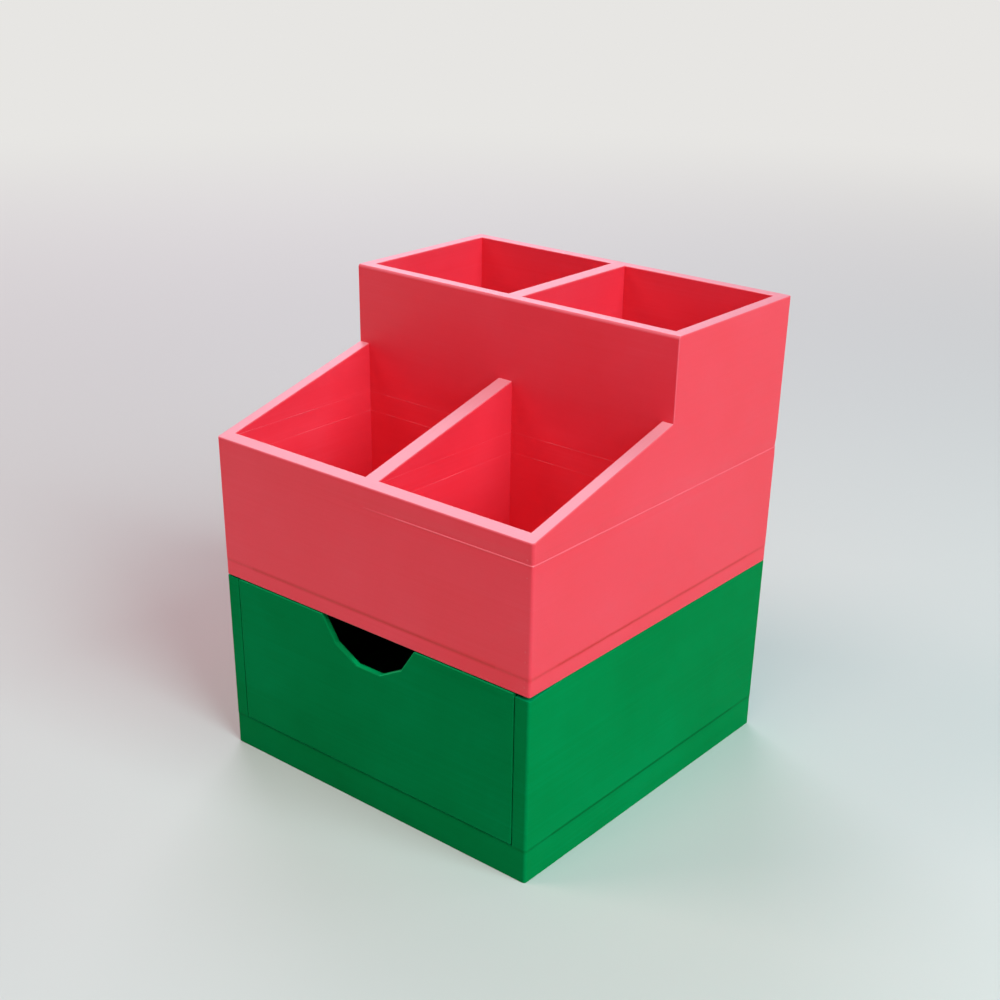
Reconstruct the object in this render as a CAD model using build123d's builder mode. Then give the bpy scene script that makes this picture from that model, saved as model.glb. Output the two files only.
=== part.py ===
"""Two-module desk organizer: a pen caddy standing on a drawer housing with one drawer.

Millimetres, +Z up, front towards -Y, origin at the middle of the underside.
Each of the three printed pieces is one solid and is written to its own STEP file.
"""

from math import asin, cos, sin
import os

from build123d import *

# Footprint shared by the two modules
body_width = 120.0
body_depth = 120.0
corner_radius = 0.9
foot_chamfer = 0.4

# Drawer housing: floor, two side walls and a back wall, open at the front and on top
housing_height = 60.0
housing_floor = 10.6
side_wall = 5.0
back_wall = 5.0
housing_edge_radius = 0.4

# Ridge along the tops of the housing's three walls, which locates the caddy
ridge_width = 2.0
ridge_height = 2.0
ridge_lead_in = 0.5
ridge_front_gap = 8.0
groove_side_clearance = 0.3
groove_headroom = 0.5

# Drawer: an open box whose front closes the housing flush
drawer_front = 2.0
drawer_side = 2.4
drawer_back = 2.4
drawer_floor = 2.4
drawer_edge_radius = 0.4
drawer_side_clearance = 0.4
drawer_under_clearance = 0.3
drawer_top_clearance = 0.4
drawer_rear_clearance = 1.0

# Finger notch in the drawer front: an arc cut as equal straight facets
notch_width = 36.6
notch_radius = 19.4
notch_facets = 5

# Pen caddy: two low compartments under a sloping rim, two tall ones behind
caddy_floor = 5.2
caddy_wall = 4.0
section_wall = 4.0
divider = 5.2
front_rim_height = 44.5
slope_top_height = 60.5
rear_height = 85.0
front_section_depth = 61.0

# Places worked out from the sizes above
half_width = body_width / 2
front_y = -body_depth / 2
back_y = body_depth / 2

bay_half_width = half_width - side_wall
bay_back_y = back_y - back_wall

drawer_bottom_z = housing_floor + drawer_under_clearance
drawer_top_z = housing_height - drawer_top_clearance
drawer_half_width = bay_half_width - drawer_side_clearance
drawer_back_y = bay_back_y - drawer_rear_clearance
tray_half_width = drawer_half_width - drawer_side
tray_front_y = front_y + drawer_front
tray_back_y = drawer_back_y - drawer_back
tray_floor_z = drawer_bottom_z + drawer_floor

section_y = front_y + front_section_depth
rim_z = housing_height + front_rim_height
slope_top_z = housing_height + slope_top_height
caddy_top_z = housing_height + rear_height
caddy_floor_z = housing_height + caddy_floor
pocket_inner_x = divider / 2
pocket_outer_x = half_width - caddy_wall
pocket_width = pocket_outer_x - pocket_inner_x
pocket_x = (pocket_inner_x + pocket_outer_x) / 2


def wall_top_band(width, z):
    """U-shaped band on the middle line of the housing's side and back walls, front ends left short."""
    outer_x = half_width - side_wall / 2 + width / 2
    inner_x = outer_x - width
    outer_y = back_y - back_wall / 2 + width / 2
    inner_y = outer_y - width
    start_y = front_y + ridge_front_gap - (width - ridge_width) / 2
    with BuildSketch(Plane.XY.offset(z)) as band:
        with BuildLine():
            Polyline(
                (-outer_x, start_y),
                (-outer_x, outer_y),
                (outer_x, outer_y),
                (outer_x, start_y),
                (inner_x, start_y),
                (inner_x, inner_y),
                (-inner_x, inner_y),
                (-inner_x, start_y),
                close=True,
            )
        make_face()
    return band.sketch


def notch_outline():
    """Corners of the notch: chords of one arc, closed by a straight line above the drawer's rim."""
    half_angle = asin(notch_width / 2 / notch_radius)
    step = 2 * half_angle / notch_facets
    arc_centre_z = drawer_top_z + notch_radius * cos(half_angle)
    corners = []
    for index in range(notch_facets + 1):
        angle = index * step - half_angle
        corners.append((notch_radius * sin(angle), arc_centre_z - notch_radius * cos(angle)))
    clear_z = drawer_top_z + drawer_top_clearance
    return [(corners[0][0], clear_z)] + corners + [(corners[-1][0], clear_z)]


# Drawer housing
with BuildPart() as drawer_housing:
    with BuildSketch():
        RectangleRounded(body_width, body_depth, corner_radius)
    extrude(amount=housing_height)
    chamfer(drawer_housing.faces().sort_by(Axis.Z)[0].edges(), length=foot_chamfer)

    # Drawer bay, cut right through the front and the top
    with BuildSketch(Plane.XY.offset(housing_floor)):
        with Locations((0, (front_y + bay_back_y) / 2)):
            Rectangle(2 * bay_half_width, bay_back_y - front_y)
    extrude(amount=housing_height - housing_floor, mode=Mode.SUBTRACT)
    bay_mouth = drawer_housing.faces(Select.LAST).edges().group_by(Axis.Y)[0]
    wall_tops = drawer_housing.faces().sort_by(Axis.Z)[-1].edges()
    fillet(wall_tops + bay_mouth, radius=housing_edge_radius)

    # Locating ridge with a lead-in round its top
    add(wall_top_band(ridge_width, housing_height))
    extrude(amount=ridge_height)
    chamfer(drawer_housing.faces().sort_by(Axis.Z)[-1].edges(), length=ridge_lead_in)
drawer_housing.part.label = "drawer_housing"

# Drawer
with BuildPart() as drawer:
    with BuildSketch(Plane.XY.offset(drawer_bottom_z)):
        with Locations((0, (front_y + drawer_back_y) / 2)):
            Rectangle(2 * drawer_half_width, drawer_back_y - front_y)
    extrude(amount=drawer_top_z - drawer_bottom_z)

    # Inside of the drawer
    with BuildSketch(Plane.XY.offset(tray_floor_z)):
        with Locations((0, (tray_front_y + tray_back_y) / 2)):
            Rectangle(2 * tray_half_width, tray_back_y - tray_front_y)
    extrude(amount=drawer_top_z - tray_floor_z, mode=Mode.SUBTRACT)

    # Finger notch through the front
    with BuildSketch(Plane.XZ.offset(-front_y)):
        with BuildLine():
            Polyline(*notch_outline(), close=True)
        make_face()
    extrude(amount=-drawer_front, mode=Mode.SUBTRACT)

    front_outline = drawer.faces().sort_by(Axis.Y)[0].edges()
    fillet(front_outline, radius=drawer_edge_radius)
drawer.part.label = "drawer"

# Pen caddy
with BuildPart() as pen_caddy:
    # Side profile, full width
    with BuildSketch(Plane.YZ.offset(-half_width)):
        with BuildLine():
            Polyline(
                (front_y, housing_height),
                (back_y, housing_height),
                (back_y, slope_top_z),
                (section_y, slope_top_z),
                (front_y, rim_z),
                close=True,
            )
        make_face()
    extrude(amount=body_width)
    with BuildSketch(Plane.XY.offset(housing_height)):
        RectangleRounded(body_width, body_depth, corner_radius)
    extrude(amount=slope_top_height, mode=Mode.INTERSECT)

    # Tall rear section
    with BuildSketch(Plane.XY.offset(housing_height)):
        with Locations((0, (section_y + back_y) / 2)):
            RectangleRounded(body_width, back_y - section_y, corner_radius)
    extrude(amount=rear_height)
    chamfer(pen_caddy.faces().sort_by(Axis.Z)[0].edges(), length=foot_chamfer)

    # Front and rear compartments, left and right of the divider
    with BuildSketch(Plane.XY.offset(caddy_floor_z)):
        with Locations(
            (-pocket_x, (front_y + caddy_wall + section_y) / 2),
            (pocket_x, (front_y + caddy_wall + section_y) / 2),
        ):
            Rectangle(pocket_width, section_y - front_y - caddy_wall)
        with Locations(
            (-pocket_x, (section_y + section_wall + back_y - caddy_wall) / 2),
            (pocket_x, (section_y + section_wall + back_y - caddy_wall) / 2),
        ):
            Rectangle(pocket_width, back_y - caddy_wall - section_y - section_wall)
    extrude(amount=caddy_top_z - caddy_floor_z, mode=Mode.SUBTRACT)

    # Groove that drops over the housing's ridge
    add(wall_top_band(ridge_width + 2 * groove_side_clearance, housing_height))
    extrude(amount=ridge_height + groove_headroom, mode=Mode.SUBTRACT)
pen_caddy.part.label = "pen_caddy"

os.makedirs("parts", exist_ok=True)
export_step(drawer_housing.part, "parts/drawer_housing.step")
export_step(drawer.part, "parts/drawer.step")
export_step(pen_caddy.part, "parts/pen_caddy.step")
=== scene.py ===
from math import asin, cos, pi, radians, sin

import bmesh
import bpy
from mathutils import Matrix, Vector


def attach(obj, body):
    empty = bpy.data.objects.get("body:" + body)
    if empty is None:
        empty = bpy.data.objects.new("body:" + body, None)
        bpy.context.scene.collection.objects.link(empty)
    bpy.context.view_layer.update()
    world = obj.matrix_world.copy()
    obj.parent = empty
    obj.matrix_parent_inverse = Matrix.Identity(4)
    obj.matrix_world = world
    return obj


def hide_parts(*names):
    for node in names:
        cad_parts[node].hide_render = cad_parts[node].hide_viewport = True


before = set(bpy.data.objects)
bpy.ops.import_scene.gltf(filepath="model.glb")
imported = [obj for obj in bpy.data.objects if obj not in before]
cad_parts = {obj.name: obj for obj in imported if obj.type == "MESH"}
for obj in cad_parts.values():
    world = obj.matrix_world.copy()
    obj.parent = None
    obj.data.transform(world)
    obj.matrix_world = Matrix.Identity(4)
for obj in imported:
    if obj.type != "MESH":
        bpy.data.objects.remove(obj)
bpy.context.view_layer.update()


# Drawer housing
# The green lower module: floor, side walls and back wall, printed upright in one piece of matte plastic.
# The drawer slides on its floor, and the caddy drops over the ridge on its walls. Sizes here and in the
# next sections are in millimetres, with the origin at the middle of the underside.
half_body = 60.0
wall_relief = 0.06
corner_radius = 0.9
corner_steps = 6
housing_height = 60.0
housing_floor = 10.6
housing_wall = 5.0
ridge_width = 2.0
ridge_height = 2.0
ridge_front_gap = 8.0
edge_radius = 0.3
edge_steps = 3
wall_edge_radius = 0.16
right_drop = 1.1
left_drop = 0.5
drop_run = 14.0
top_band = 1.2
sharp_turn = radians(32)
cut_tolerance = 0.002
strip_width = 12.0
low_step = 1.0
# painted highlight on the rounded upright corners, where they catch the light
corner_highlight = 0.15


def stepped_block(xs, ys, layers, filled, height):
    """Closed mesh of the filled boxes of a grid with the given number of layers. filled says whether a layer
    is solid at x and y, and height gives the z of a level, the bottom of its layer, at x and y."""
    shape = bmesh.new()
    # A face layer that holds painted highlights, and painted shade where it is below zero
    shape.faces.layers.float.new("painted_light")
    made = {}

    def corner(i, j, k):
        if (i, j, k) not in made:
            made[i, j, k] = shape.verts.new((xs[i], ys[j], height(xs[i], ys[j], k)))
        return made[i, j, k]

    def solid(i, j, k):
        inside = 0 <= i < len(xs) - 1 and 0 <= j < len(ys) - 1 and 0 <= k < layers
        return inside and filled((xs[i] + xs[i + 1]) / 2, (ys[j] + ys[j + 1]) / 2, k)

    rings = {
        (1, 0, 0): ((1, 0, 0), (1, 1, 0), (1, 1, 1), (1, 0, 1)),
        (-1, 0, 0): ((0, 0, 0), (0, 0, 1), (0, 1, 1), (0, 1, 0)),
        (0, 1, 0): ((0, 1, 0), (0, 1, 1), (1, 1, 1), (1, 1, 0)),
        (0, -1, 0): ((0, 0, 0), (1, 0, 0), (1, 0, 1), (0, 0, 1)),
        (0, 0, 1): ((0, 0, 1), (1, 0, 1), (1, 1, 1), (0, 1, 1)),
        (0, 0, -1): ((0, 0, 0), (0, 1, 0), (1, 1, 0), (1, 0, 0)),
    }
    for i in range(len(xs) - 1):
        for j in range(len(ys) - 1):
            for k in range(layers):
                if not solid(i, j, k):
                    continue
                for (di, dj, dk), ring in rings.items():
                    if not solid(i + di, j + dj, k + dk):
                        shape.faces.new([corner(i + a, j + b, k + c) for a, b, c in ring])
    shape.normal_update()
    bmesh.ops.dissolve_limit(shape, angle_limit=radians(0.2), verts=shape.verts, edges=shape.edges)
    return shape


def round_off(shape, edges, radius, steps, painted_light):
    """Rounds the given edges to an even radius, and gives each new face a painted highlight, or painted shade
    where the value for it is below zero."""
    rounded = bmesh.ops.bevel(
        shape,
        geom=edges,
        offset=radius,
        offset_type="OFFSET",
        segments=steps,
        profile=0.5,
        affect="EDGES",
        loop_slide=False,
        clamp_overlap=False,
    )
    shape.normal_update()
    mark = shape.faces.layers.float["painted_light"]
    for face in rounded["faces"]:
        face[mark] = painted_light(face)


def upright_corners(shape):
    """The vertical edges at the four corners of the footprint."""
    def at_corner(vert):
        return min(abs(vert.co.x), abs(vert.co.y)) > half_body - 2 * wall_relief

    return [edge for edge in shape.edges if all(at_corner(vert) for vert in edge.verts)
            and abs(edge.verts[0].co.z - edge.verts[1].co.z) > corner_radius]


def outer_edges(shape):
    """Every edge that stands out and turns sharply."""
    return [edge for edge in shape.edges if edge.is_convex and edge.calc_face_angle(0) > sharp_turn]


def cut_across(shape, point, normal):
    """Divides every face that a plane crosses, and returns the edges that lie on the plane."""
    geometry = shape.verts[:] + shape.edges[:] + shape.faces[:]
    cut = bmesh.ops.bisect_plane(shape, geom=geometry, dist=cut_tolerance, plane_co=point, plane_no=normal)
    return [item for item in cut["geom_cut"] if isinstance(item, bmesh.types.BMEdge)]


def slice_upright(shape):
    """Divides the walls into upright strips, so that a layer line can come and go along a wall."""
    count = int(half_body / strip_width)
    for step in range(-count, count + 1):
        cut_across(shape, (step * strip_width, 0, 0), (1, 0, 0))
        cut_across(shape, (0, step * strip_width, 0), (0, 1, 0))


def layer_line(shape, profile, strength, painted_light):
    """Lets the print's layers stand in or out all round. profile lists (height, push), and its ends run on. A
    low step's outward push sets its painted highlight, or its painted shade where that is below zero."""
    core = half_body - wall_relief - corner_radius
    skin = core + corner_radius / 2
    for height, _ in profile:
        for edge in cut_across(shape, (0, 0, height), (0, 0, 1)):
            edge.smooth = False
    mark = shape.faces.layers.float["painted_light"]
    for face in shape.faces:
        x, y, z = face.calc_center_median()
        for (low, low_push), (high, high_push) in zip(profile, profile[1:]):
            if low < z < high and max(abs(x), abs(y)) > skin and high - low < low_step:
                face[mark] = painted_light(high_push - low_push) * strength(x, y)
    for vert in shape.verts:
        x, y, z = vert.co
        if max(abs(x), abs(y)) < skin:
            continue
        push = profile[0][1] if z < profile[0][0] else profile[-1][1]
        for (low, low_push), (high, high_push) in zip(profile, profile[1:]):
            if low <= z <= high:
                push = low_push + (high_push - low_push) * (z - low) / (high - low)
        nearest = Vector((max(-core, min(core, x)), max(-core, min(core, y)), z))
        vert.co += (vert.co - nearest).normalized() * push * strength(x, y)


def piece_from(shape, name, node, body, material):
    """Turns a shape in millimetres into a piece in metres, which rides on its body in place of its node."""
    bmesh.ops.scale(shape, vec=(0.001, 0.001, 0.001), verts=shape.verts)
    for edge in shape.edges:
        edge.smooth = edge.smooth and edge.calc_face_angle(0) < sharp_turn
    for face in shape.faces:
        face.smooth = True
    mesh = bpy.data.meshes.new(name)
    shape.to_mesh(mesh)
    shape.free()
    mesh.materials.append(material)
    piece = bpy.data.objects.new(name, mesh)
    bpy.context.scene.collection.objects.link(piece)
    flat = piece.modifiers.new("flat_faces_stay_flat", "WEIGHTED_NORMAL")
    flat.keep_sharp = True
    flat.weight = 80
    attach(piece, body)
    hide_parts(node)
    return piece


class Value:
    """A value in a node tree. Arithmetic on it adds the Math nodes."""

    def __init__(self, nodes, socket):
        self.nodes = nodes
        self.socket = socket

    def __add__(self, other):
        return self.nodes.math("ADD", self, other)

    def __sub__(self, other):
        return self.nodes.math("SUBTRACT", self, other)

    def __rsub__(self, other):
        return self.nodes.math("SUBTRACT", other, self)

    def __mul__(self, other):
        return self.nodes.math("MULTIPLY", self, other)

    __radd__ = __add__
    __rmul__ = __mul__


class Nodes:
    """A node tree that is built up node by node."""

    families = ("ShaderNode", "GeometryNode", "FunctionNode", "Node")

    def __init__(self, tree):
        self.tree = tree
        self.tree.nodes.clear()

    def add(self, kind, settings=None, inputs=None, output=0):
        """Adds a node, its settings first, then the values or links of its sockets. Returns one output."""
        family = next(family for family in self.families if hasattr(bpy.types, family + kind))
        node = self.tree.nodes.new(family + kind)
        for key, value in (settings or {}).items():
            setattr(node, key, value)
        for key, value in (inputs or {}).items():
            socket = node.inputs[key] if isinstance(key, int) else next(
                s for s in node.inputs if key in (s.identifier, s.name))
            if isinstance(value, Value):
                self.tree.links.new(value.socket, socket)
            else:
                socket.default_value = value
        if output == "all":
            return [Value(self, socket) for socket in node.outputs]
        if isinstance(output, str):
            output = next(i for i, s in enumerate(node.outputs) if output in (s.identifier, s.name))
        return Value(self, node.outputs[output]) if len(node.outputs) else None

    def math(self, operation, *values):
        """One Math node on numbers or values."""
        return self.add("Math", {"operation": operation}, dict(enumerate(values)))

    def ease(self, value, low, high):
        """0 below low, 1 above high, and a smooth change between them."""
        return self.add("MapRange", {"interpolation_type": "SMOOTHSTEP"},
                        {"Value": value, "From Min": low, "From Max": high}, "Result")

    def blend(self, factor, first, second):
        """One colour turning into another."""
        ends = {name: tint if isinstance(tint, Value) else (*tint, 1)
                for name, tint in (("A_Color", first), ("B_Color", second))}
        return self.add("Mix", {"data_type": "RGBA"}, {"Factor_Float": factor, **ends}, "Result_Color")


def printed_plastic(name, body_colour, pale_colour, deep_colour, top_light_colour, highlight_colour, shade_colour,
                    sheen_colour, gloss, top_gloss):
    """Matte plastic laid down in fine layers: fine ribs up the walls, diagonal tracks on shinier top faces,
    soft mottling and bands. Top faces are painted paler as a sheen of the light above, edges get painted
    highlights and creases painted shade."""
    layer_height = 0.0002
    track_width = 0.0006
    material = bpy.data.materials.new(name)
    material.use_nodes = True
    finish = Nodes(material.node_tree)
    place, facing = [finish.add("TexCoord", output=output) for output in ("Object", "Normal")]
    x, y, z = finish.add("SeparateXYZ", inputs={"Vector": place}, output="all")
    upward = finish.add("SeparateXYZ", inputs={"Vector": facing}, output="Z")
    painted_light = finish.add("Attribute", {"attribute_name": "painted_light"}, output="Fac")

    # Slow mottling, and bands drawn out along the layers
    mottle = finish.add("TexNoise", inputs={
        "Vector": place, "Scale": 26.0, "Detail": 3.0, "Roughness": 0.55}, output="Fac")
    along_layers = finish.add("CombineXYZ", inputs={"X": x * 12.0, "Y": y * 12.0, "Z": z * 1500.0})
    bands = finish.add("TexNoise", inputs={
        "Vector": along_layers, "Scale": 1.0, "Detail": 2.0, "Roughness": 0.5}, output="Fac")

    # Layers show as ribs on walls, and the last layer's tracks as diagonal ribs on level faces
    level = finish.ease(finish.math("ABSOLUTE", upward), 0.985, 0.998)
    wall_ribs = finish.math("SINE", z * (2 * pi / layer_height))
    track_ribs = finish.math("SINE", (x + y) * (2 * pi / track_width))
    ribs = wall_ribs * (1 - level) + track_ribs * level

    # Painted light: above zero a painted highlight, strongest where it faces up, and below zero painted shade
    painted_highlight = finish.math("MAXIMUM", painted_light, 0.0) * (0.5 + 0.5 * finish.ease(upward, 0.1, 0.7))
    painted_shade = finish.math("MAXIMUM", painted_light * -1.0, 0.0)

    # Colour, and a top face that is shinier than the walls and painted paler, as a sheen of the light above
    lightness = mottle * 0.7 + bands * 0.3
    darker = finish.blend(finish.ease(lightness, 0.34, 0.52), deep_colour, body_colour)
    tint = finish.blend(finish.ease(lightness, 0.50, 0.68), darker, pale_colour)
    highlit_and_shaded = finish.blend(painted_shade, finish.blend(painted_highlight, tint, highlight_colour), shade_colour)
    top = finish.ease(upward, 0.90, 0.96)
    top_lit = finish.blend(top, highlit_and_shaded, top_light_colour)
    roughness = 0.34 + top * 0.06 + bands * 0.05 + mottle * 0.06
    bump = finish.add("Bump", inputs={"Strength": 1.0, "Distance": 0.00001, "Height": ribs * 0.8 + bands})
    surface = finish.add("BsdfPrincipled", inputs={
        "Base Color": top_lit,
        "Roughness": roughness,
        "Normal": bump,
        "IOR": 1.46,
        "Specular IOR Level": gloss,
        "Specular Tint": (*sheen_colour, 1),
        "Coat Weight": top * top_gloss,
        "Coat Roughness": 0.28,
        "Coat IOR": 1.5,
    })
    finish.add("OutputMaterial", inputs={"Surface": surface})
    return material


housing_plastic = printed_plastic(
    "green_plastic",
    body_colour=(0.0, 0.204, 0.051),
    pale_colour=(0.0, 0.222, 0.060),
    deep_colour=(0.0, 0.186, 0.044),
    # the top colour is a painted sheen of the light above, the next a painted highlight, the next painted
    # shade
    top_light_colour=(0.0, 0.27, 0.09),
    highlight_colour=(0.0, 0.30, 0.11),
    shade_colour=(0.0, 0.14, 0.033),
    sheen_colour=(0.0, 1.0, 0.7),
    gloss=0.006,
    top_gloss=0.02,
)

side = half_body - wall_relief
inner = half_body - housing_wall
ridge_out = half_body - housing_wall / 2 + ridge_width / 2
ridge_in = ridge_out - ridge_width
ridge_start = -half_body + ridge_front_gap
drop_end = -side + drop_run


def housing_filled(x, y, level):
    """Floor, three walls, and the ridge on top of them."""
    if level == 0:
        return True
    if level == 1:
        return abs(x) > inner or y > inner
    on_sides = ridge_in < abs(x) < ridge_out and ridge_start < y < ridge_out
    on_back = ridge_in < y < ridge_out and abs(x) < ridge_out
    return on_sides or on_back


def housing_level(x, y, level):
    """Flat levels, apart from the front ends of the side walls, whose tops sag a little below the caddy."""
    z = (0.0, housing_floor, housing_height, housing_height + ridge_height)[level]
    if level == 2 and y < drop_end:
        z -= (right_drop if x > 0 else left_drop) * (drop_end - y) / drop_run
    return z


def housing_highlight_and_shade(face):
    """Painted highlights on the left-facing edges of the bay's mouth and on the sagging front ends of the
    walls' tops, painted shade on the other top edges under the caddy, and a faint painted highlight
    elsewhere.
    """
    x, y, z = face.calc_center_median()
    if z > housing_height - top_band:
        return 0.5 if y < drop_end and z < housing_height else -0.5
    return 1.0 if abs(x) < inner + 1 and face.normal.x < -0.2 else 0.1


def line_strength(x, y):
    """The lines fade towards the four corners."""
    return max(0.4, min(1.0, (half_body - min(abs(x), abs(y))) / strip_width))


def crease_shade(step):
    """A line at a floor's level is painted dark as shade, most of all where it leans out."""
    return -min(1.0, 0.35 + 4 * step)


housing = stepped_block(
    xs=(-side, -ridge_out, -ridge_in, -inner, inner, ridge_in, ridge_out, side),
    ys=(-side, ridge_start, drop_end, inner, ridge_in, ridge_out, side),
    layers=3,
    filled=housing_filled,
    height=housing_level,
)
round_off(housing, upright_corners(housing), corner_radius, corner_steps, painted_light=lambda face: corner_highlight)
round_off(housing, outer_edges(housing), wall_edge_radius, edge_steps, painted_light=housing_highlight_and_shade)
slice_upright(housing)
layer_line(housing, ((0.6, 0.0), (housing_floor - 0.8, -0.18), (housing_floor - 0.4, -0.2),
                     (housing_floor + 0.4, 0.0), (housing_floor + 0.8, 0.0)), line_strength, crease_shade)
piece_from(housing, "drawer_housing_shell", "drawer_housing", "housing", housing_plastic)


# Drawer
# An open box of the same green plastic, printed upright. It slides loose on the housing's floor, its front
# closes the housing flush, and a finger notch of five straight facets takes the place of a handle.
drawer_half = 54.6
drawer_back = 54.0
drawer_bottom = 10.9
drawer_top = 59.6
drawer_wall = 2.4
drawer_floor = 2.4
drawer_front = 2.0
notch_width = 36.6
notch_radius = 19.4
notch_facets = 5
# strength of the painted highlight on the notch's facets
notch_highlight = 0.55
notch_contrast = 1.7

drawer_plastic = printed_plastic(
    "drawer_green_plastic",
    body_colour=(0.0, 0.212, 0.055),
    pale_colour=(0.0, 0.231, 0.065),
    deep_colour=(0.0, 0.193, 0.048),
    # the top colour paints the light on the notch's facets, the next colour painted highlights, the next
    # painted shade
    top_light_colour=(0.0, 0.42, 0.12),
    highlight_colour=(0.02, 0.60, 0.20),
    shade_colour=(0.0, 0.14, 0.033),
    sheen_colour=(0.0, 1.0, 0.7),
    gloss=0.006,
    top_gloss=0.02,
)

half_angle = asin(notch_width / 2 / notch_radius)
notch_centre = drawer_top + notch_radius * cos(half_angle)
notch_angles = [half_angle * (2 * step / notch_facets - 1) for step in range(notch_facets + 1)]
notch_points = {round(notch_radius * sin(angle), 4): notch_centre - notch_radius * cos(angle)
                for angle in notch_angles}
front_inside = -half_body + drawer_front


def drawer_filled(x, y, level):
    """Floor, and the four walls round it."""
    inside_x = abs(x) < drawer_half - drawer_wall
    inside_y = front_inside < y < drawer_back - drawer_wall
    return level == 0 or not (inside_x and inside_y)


def drawer_height(x, y, level):
    """Level rims, apart from the notch in the front wall."""
    if level == 2 and y <= front_inside:
        return notch_points.get(x, drawer_top)
    return (drawer_bottom, drawer_bottom + drawer_floor, drawer_top)[level]


def drawer_highlight(face):
    """Painted highlights on the edges that face left towards the light, the notch's among them, weaker on the
    top edges, and faint on those that face right.
    """
    if abs(face.normal.x) < 0.2:
        return 0.3
    return 0.9 if face.normal.x < 0 else 0.05


drawer = stepped_block(
    xs=(-drawer_half, drawer_wall - drawer_half, *notch_points, drawer_half - drawer_wall, drawer_half),
    ys=(-side, front_inside, drawer_back - drawer_wall, drawer_back),
    layers=2,
    filled=drawer_filled,
    height=drawer_height,
)
round_off(drawer, outer_edges(drawer), edge_radius, edge_steps, painted_light=drawer_highlight)

# The notch's facets get a painted highlight too, the stronger the further they face left towards the light
mark = drawer.faces.layers.float["painted_light"]
for face in drawer.faces:
    x, y, z = face.calc_center_median()
    in_notch = abs(x) < notch_width / 2 and y < front_inside and z > (drawer_bottom + drawer_top) / 2
    if in_notch and face.normal.y == 0 and face.normal.z > 0.1:
        face[mark] = max(0.0, min(1.0, notch_highlight * (1 - notch_contrast * face.normal.x)))
piece_from(drawer, "drawer_box", "drawer", "drawer", drawer_plastic)


# Pen caddy
# The coral upper module, printed in one piece: two low compartments under a sloping rim and two tall ones
# behind. It stands loose on the housing, and a groove in its underside drops over the housing's ridge.
caddy_bottom = housing_height
caddy_floor = 5.2
caddy_wall = 4.0
half_divider = 2.6
front_rim = 104.5
slope_top = 120.5
caddy_top = 145.0
section_front = 1.0
section_wall = 4.0
groove_width = 2.6
groove_height = 2.5
rim_line = 98.15
rear_edge_radius = 0.9
rear_edge_steps = 4
front_band = 1.2
fade_middle = 4.5
fade_length = 25.0

caddy_plastic = printed_plastic(
    "coral_plastic",
    body_colour=(0.95, 0.029, 0.056),
    pale_colour=(0.96, 0.038, 0.069),
    deep_colour=(0.94, 0.023, 0.046),
    # the top colour is a painted sheen of the light above, the next a painted highlight, the next painted
    # shade
    top_light_colour=(0.97, 0.28, 0.34),
    highlight_colour=(0.95, 0.11, 0.15),
    shade_colour=(0.80, 0.0, 0.005),
    sheen_colour=(1.0, 1.0, 1.0),
    gloss=0.62,
    top_gloss=0.15,
)

pocket_side = half_body - caddy_wall
section_inside = section_front + section_wall


def caddy_filled(x, y, level):
    """Floor, walls and divider, the front only as high as the slope."""
    between = half_divider < abs(x) < pocket_side
    in_front = -pocket_side < y < section_front
    behind = section_inside < y < pocket_side
    if level == 0:
        return True
    if level == 1:
        return not (between and (in_front or behind))
    return y > section_front and not (between and behind)


def caddy_height(x, y, level):
    """The slope rises from the front rim to the tall section."""
    if level == 2:
        rise = (y + side) / (section_front + side)
        return min(slope_top, front_rim + rise * (slope_top - front_rim))
    return (caddy_bottom, caddy_bottom + caddy_floor, None, caddy_top)[level]


def cut_groove(shape):
    """Cuts the locating groove into the underside. The bottom face is made again round its outline."""
    bottom = min(shape.faces, key=lambda face: (round(face.calc_center_median().z, 3), -face.calc_area()))
    outline = list(bottom.edges)
    shape.faces.remove(bottom)
    out = half_body - housing_wall / 2 + groove_width / 2
    within = out - groove_width
    start = ridge_start - (groove_width - ridge_width) / 2
    path = ((-out, start), (-within, start), (-within, within), (within, within),
            (within, start), (out, start), (out, out), (-out, out))
    low = [shape.verts.new((x, y, caddy_bottom)) for x, y in path]
    high = [shape.verts.new((x, y, caddy_bottom + groove_height)) for x, y in path]
    shape.faces.new(reversed(high))
    for index in range(len(path)):
        after = (index + 1) % len(path)
        shape.faces.new((low[after], low[index], high[index], high[after]))
        outline.append(shape.edges.get((low[index], low[after])))
    bmesh.ops.triangle_fill(shape, edges=outline, use_beauty=True, normal=(0, 0, -1))


def rim_line_strength(x, y):
    """Strong on the right, and fading out along the front towards the left."""
    if y < -half_body + front_band:
        return max(0.0, min(1.0, (x - fade_middle) / fade_length + 0.5))
    return 1.0


def rim_highlight_and_shade(step):
    """The line below the rim gets a painted highlight where it leans in, and painted shade where it leans
    out.
    """
    return max(-0.3, min(1.0, -5 * step))


def caddy_highlight(face):
    """A painted highlight on all the caddy's edges, weaker on those of its underside."""
    return 1.0 if face.normal.z > -0.2 else 0.5


def rear_front_edge(shape):
    """The top edge of the tall section's front, which is rounded more than the rest."""
    def on_edge(vert):
        return abs(vert.co.y - section_front) < wall_relief and vert.co.z > caddy_top - wall_relief

    return [edge for edge in shape.edges if all(on_edge(vert) for vert in edge.verts)]


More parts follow.
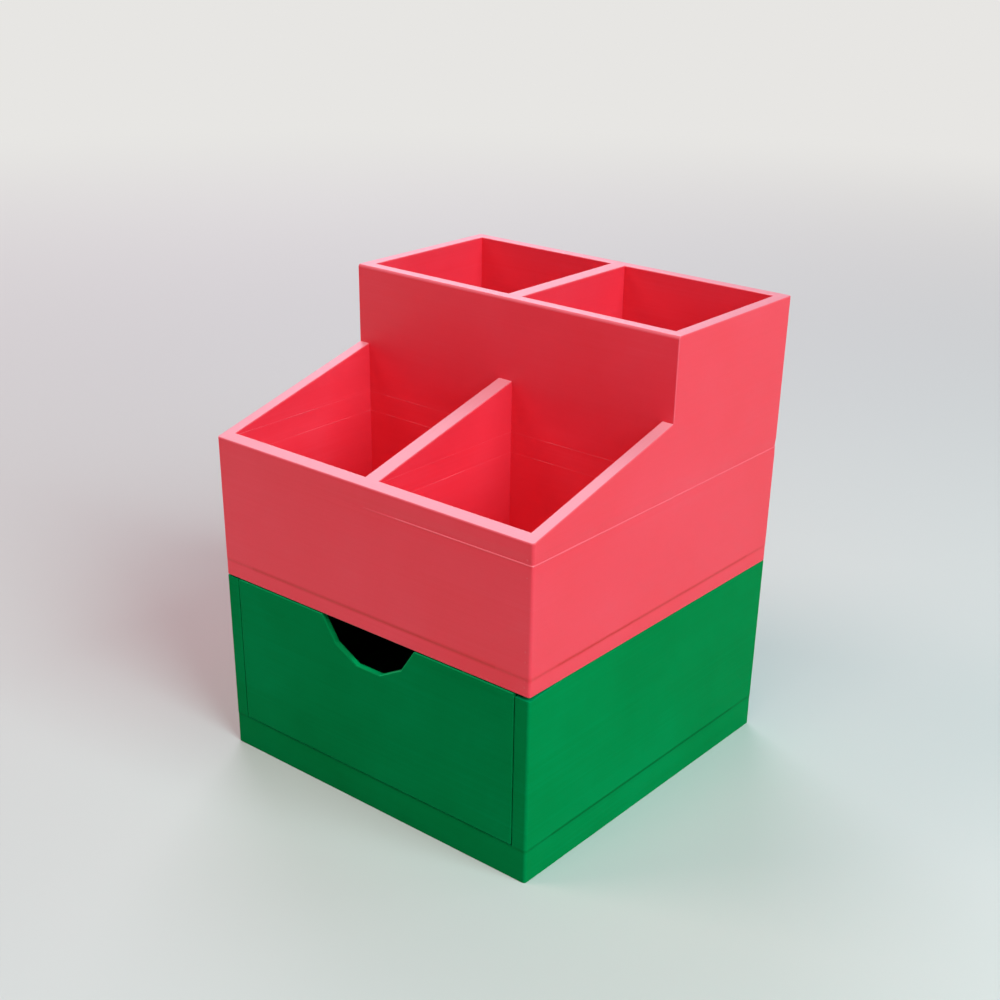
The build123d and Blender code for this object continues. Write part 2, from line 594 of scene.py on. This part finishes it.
caddy = stepped_block(
    xs=(-side, -pocket_side, -half_divider, half_divider, pocket_side, side),
    ys=(-side, -pocket_side, section_front, section_inside, pocket_side, side),
    layers=3,
    filled=caddy_filled,
    height=caddy_height,
)
round_off(caddy, upright_corners(caddy), corner_radius, corner_steps, painted_light=lambda face: corner_highlight)
round_off(caddy, rear_front_edge(caddy), rear_edge_radius, rear_edge_steps, painted_light=caddy_highlight)
round_off(caddy, outer_edges(caddy), edge_radius, edge_steps, painted_light=caddy_highlight)
cut_groove(caddy)
bmesh.ops.recalc_face_normals(caddy, faces=caddy.faces)
slice_upright(caddy)
floor_line = caddy_bottom + caddy_floor
layer_line(caddy, ((caddy_bottom + 0.6, -0.04), (floor_line - 0.8, -0.14), (floor_line - 0.4, -0.16),
                   (floor_line + 0.4, 0.0), (floor_line + 0.8, 0.0)), line_strength, crease_shade)
layer_line(caddy, ((rim_line - 2.5, 0.0), (rim_line - 0.25, -0.10), (rim_line - 0.05, 0.0),
                   (rim_line + 0.02, 0.0), (rim_line + 0.27, -0.20), (rim_line + 3.0, 0.0)),
           rim_line_strength, rim_highlight_and_shade)
piece_from(caddy, "pen_caddy_body", "pen_caddy", "caddy", caddy_plastic)


# The caddy's layer ridges and seam beads
# Stray plastic of the same print: two thin ridges that run round the inside of each compartment, where a
# layer stands out, and small beads up the front beside the right corner, where the nozzle starts each layer.
ridge_heights = (98.4, 104.8)
ridge_thickness = 0.09
bead_size = 0.27
bead_count = 12
bead_x = 58.1
bead_heights = (62.0, 103.0)


def stray_plastic(name, sizes, paths, closed, build):
    """Grows stray plastic on the caddy along paths in millimetres, by the Geometry Nodes that build makes."""
    tree = bpy.data.node_groups.new(name, "GeometryNodeTree")
    tree.interface.new_socket("Geometry", in_out="OUTPUT", socket_type="NodeSocketGeometry")
    tree.interface.new_socket("Paths", in_out="INPUT", socket_type="NodeSocketGeometry")
    sockets = {size: tree.interface.new_socket(size, in_out="INPUT", socket_type=kind)
               for size, (kind, _) in sizes.items()}
    nodes = Nodes(tree)
    incoming, *given, _ = nodes.add("GroupInput", output="all")
    curves = nodes.add("MeshToCurve", inputs={"Mesh": incoming})
    plastic = nodes.add("RealizeInstances", inputs={"Geometry": build(nodes, curves, *given)})
    # the stray plastic is painted pale all over, as a highlight
    highlighted = nodes.add("StoreNamedAttribute", {"domain": "FACE"},
                      {"Geometry": plastic, "Name": "painted_light", "Value": 1.0})
    smooth = nodes.add("SetShadeSmooth", inputs={"Geometry": highlighted})
    finished = nodes.add("SetMaterial", inputs={"Geometry": smooth, "Material": caddy_plastic})
    nodes.add("GroupOutput", inputs={"Geometry": finished})

    points, edges = [], []
    for path in paths:
        first, count = len(points), len(path)
        points += [(x / 1000, y / 1000, z / 1000) for x, y, z in path]
        edges += [(first + i, first + (i + 1) % count) for i in range(count if closed else count - 1)]
    guide = bpy.data.meshes.new(name + "_paths")
    guide.from_pydata(points, edges, [])
    piece = bpy.data.objects.new(name, guide)
    bpy.context.scene.collection.objects.link(piece)
    growth = piece.modifiers.new("growth", "NODES")
    growth.node_group = tree
    for size, (_, value) in sizes.items():
        growth[sockets[size].identifier] = value
    grown = bpy.data.meshes.new_from_object(piece.evaluated_get(bpy.context.evaluated_depsgraph_get()))
    piece.modifiers.remove(growth)
    piece.data = grown
    grown.name = name
    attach(piece, "caddy")
    return piece


def layer_ridges(nodes, curves, thickness, spacing, patchiness, seed):
    """Thin ridges along the paths, which thicken and thin out by turns."""
    evened = nodes.add("ResampleCurve", {"mode": "LENGTH"}, {"Curve": curves, "Length": spacing})
    patches = nodes.add("TexNoise", {"noise_dimensions": "4D"}, {
        "Vector": nodes.add("InputPosition"), "W": seed, "Scale": patchiness, "Detail": 1.0}, "Fac")
    outline = nodes.add("CurvePrimitiveCircle", {"mode": "RADIUS"}, {"Resolution": 6, "Radius": thickness})
    return nodes.add("CurveToMesh", inputs={
        "Curve": evened, "Profile Curve": outline, "Scale": 0.2 + 0.8 * nodes.ease(patches, 0.42, 0.62)})


def seam_beads(nodes, curves, size, count, scatter, seed):
    """Flattened beads in a row, of uneven size and a little out of line."""
    spots = nodes.add("CurveToPoints", {"mode": "COUNT"}, {"Curve": curves, "Count": count}, "Points")
    shift = nodes.add("CombineXYZ", inputs={
        "X": 0.05 * nodes.add("RandomValue", {"data_type": "FLOAT"}, {
            "Min_001": -1.0 * scatter, "Max_001": scatter, "Seed": seed}, "Value_001"),
        "Z": nodes.add("RandomValue", {"data_type": "FLOAT"}, {
            "Min_001": -1.0 * scatter, "Max_001": scatter, "Seed": seed + 1}, "Value_001")})
    scattered = nodes.add("SetPosition", inputs={"Geometry": spots, "Offset": shift})
    part = nodes.add("RandomValue", {"data_type": "FLOAT"}, {
        "Min_001": 0.3, "Max_001": 1.0, "Seed": seed + 2}, "Value_001")
    bead = nodes.add("MeshIcoSphere", inputs={"Radius": size, "Subdivisions": 2}, output="Mesh")
    flattened = nodes.add("CombineXYZ", inputs={"X": part, "Y": part * 0.2, "Z": part})
    return nodes.add("InstanceOnPoints", inputs={"Points": scattered, "Instance": bead, "Scale": flattened})


def ring(x_range, y_range, z):
    """The corners of a level rectangle, in order."""
    (x0, x1), (y0, y1) = x_range, y_range
    return [(x0, y0, z), (x1, y0, z), (x1, y1, z), (x0, y1, z)]


pockets = [(x_range, y_range) for x_range in ((-pocket_side, -half_divider), (half_divider, pocket_side))
           for y_range in ((-pocket_side, section_front), (section_inside, pocket_side))]
stray_plastic(
    "caddy_layer_ridges",
    {"Thickness": ("NodeSocketFloat", ridge_thickness / 1000),
     "Spacing": ("NodeSocketFloat", 0.0008),
     "Patchiness": ("NodeSocketFloat", 90.0),
     "Seed": ("NodeSocketInt", 3)},
    [ring(*pocket, z) for pocket in pockets for z in ridge_heights],
    closed=True,
    build=layer_ridges,
)
stray_plastic(
    "caddy_seam_beads",
    {"Size": ("NodeSocketFloat", bead_size / 1000),
     "Count": ("NodeSocketInt", bead_count),
     "Scatter": ("NodeSocketFloat", 0.0015),
     "Seed": ("NodeSocketInt", 11)},
    [[(bead_x, -side, z) for z in bead_heights]],
    closed=False,
    build=seam_beads,
)


# Floor, lights and camera
# A plain pale floor that runs on into the background. Soft lights stand on the right and high in front, and
# a tall bluish one behind on the left, as a window, gives the rims their sheen.
floor_colour = (0.69, 0.65, 0.63)
background_colour = (0.80, 0.79, 0.77)
floor_reach = 12.0
fade_start = 0.35
fade_end = 1.3

floor_material = bpy.data.materials.new("pale_floor")
floor_material.use_nodes = True
floor_finish = Nodes(floor_material.node_tree)
from_middle = floor_finish.add("VectorMath", {"operation": "LENGTH"},
                               {"Vector": floor_finish.add("TexCoord", output="Object")}, "Value")
camera_ray, glossy_ray, clear_ray = [
    floor_finish.add("LightPath", output=output)
    for output in ("Is Camera Ray", "Is Glossy Ray", "Is Transmission Ray")]
background = floor_finish.ease(from_middle, fade_start, fade_end) * (camera_ray + glossy_ray + clear_ray)
floor_surface = floor_finish.add("MixShader", inputs={
    0: background,
    1: floor_finish.add("BsdfDiffuse", inputs={"Color": (*floor_colour, 1)}),
    2: floor_finish.add("Emission", inputs={"Color": (*background_colour, 1)}),
})
floor_finish.add("OutputMaterial", inputs={"Surface": floor_surface})
floor_mesh = bpy.data.meshes.new("floor")
floor_corners = [(x * floor_reach, y * floor_reach, 0) for x, y in ((-1, -1), (1, -1), (1, 1), (-1, 1))]
floor_mesh.from_pydata(floor_corners, [], [(0, 1, 2, 3)])
floor_mesh.materials.append(floor_material)
floor = bpy.data.objects.new("floor", floor_mesh)
bpy.context.scene.collection.objects.link(floor)


def soft_light(name, place, width, height, power, tint):
    """A soft light at place, turned towards the object. The camera doesn't see it."""
    lamp = bpy.data.lights.new(name, "AREA")
    lamp.shape = "RECTANGLE"
    lamp.size = width
    lamp.size_y = height
    lamp.energy = power
    lamp.color = tint
    light = bpy.data.objects.new(name, lamp)
    place = Vector(place)
    turn = (place - Vector((0, 0, 0.09))).to_track_quat("Z", "Y").to_matrix().to_4x4()
    light.matrix_world = Matrix.Translation(place) @ turn
    light.visible_camera = False
    bpy.context.scene.collection.objects.link(light)


soft_light("right_light", (1.10, -0.15, 0.85), 0.9, 0.9, 21.2, (0.64, 1.0, 1.0))
soft_light("back_right_light", (0.85, 1.04, 0.55), 0.7, 1.0, 1.4, (0.86, 1.0, 1.0))
soft_light("front_left_light", (-0.79, -0.64, 1.05), 0.6, 0.6, 5.1, (1.0, 0.75, 0.71))
soft_light("high_front_light", (0.15, -0.80, 1.50), 0.7, 0.7, 5.0, (1.0, 0.77, 0.73))
soft_light("window_light", (-0.83, 0.75, 0.95), 0.8, 1.0, 8.9, (0.89, 0.83, 1.0))

world = bpy.data.worlds.new("studio")
bpy.context.scene.world = world
world.use_nodes = True
studio = Nodes(world.node_tree)
sky = studio.add("MixShader", inputs={
    0: studio.add("LightPath", output="Is Camera Ray"),
    1: studio.add("Background", inputs={"Color": (0.93, 0.92, 1.0, 1), "Strength": 0.09}),
    2: studio.add("Background", inputs={"Color": (*background_colour, 1)}),
})
studio.add("OutputWorld", inputs={"Surface": sky})

camera_data = bpy.data.cameras.new("camera")
camera_data.sensor_width = 36.0
camera_data.lens = 54.42516
camera_data.shift_x = 0.0003
camera_data.shift_y = 0.1350
camera_data.clip_start = 0.01
camera_data.clip_end = 100.0
azimuth, elevation, roll = radians(39.318), radians(27.085), radians(0.927)
away = Vector((sin(azimuth) * cos(elevation), -cos(azimuth) * cos(elevation), sin(elevation)))
rightward = Vector((cos(azimuth), sin(azimuth), 0))
upward = away.cross(rightward)
tilted_right = cos(roll) * rightward + sin(roll) * upward
tilted_up = cos(roll) * upward - sin(roll) * rightward
aim = Vector((0, 0, 0.09))
place = aim + 0.4612356 * away - 0.0005376 * tilted_right - 0.0482556 * tilted_up
camera = bpy.data.objects.new("camera", camera_data)
turn = Matrix((tilted_right, tilted_up, away)).transposed().to_4x4()
camera.matrix_world = Matrix.Translation(place) @ turn
bpy.context.scene.collection.objects.link(camera)
bpy.context.scene.camera = camera
bpy.context.scene.view_settings.view_transform = "Standard"
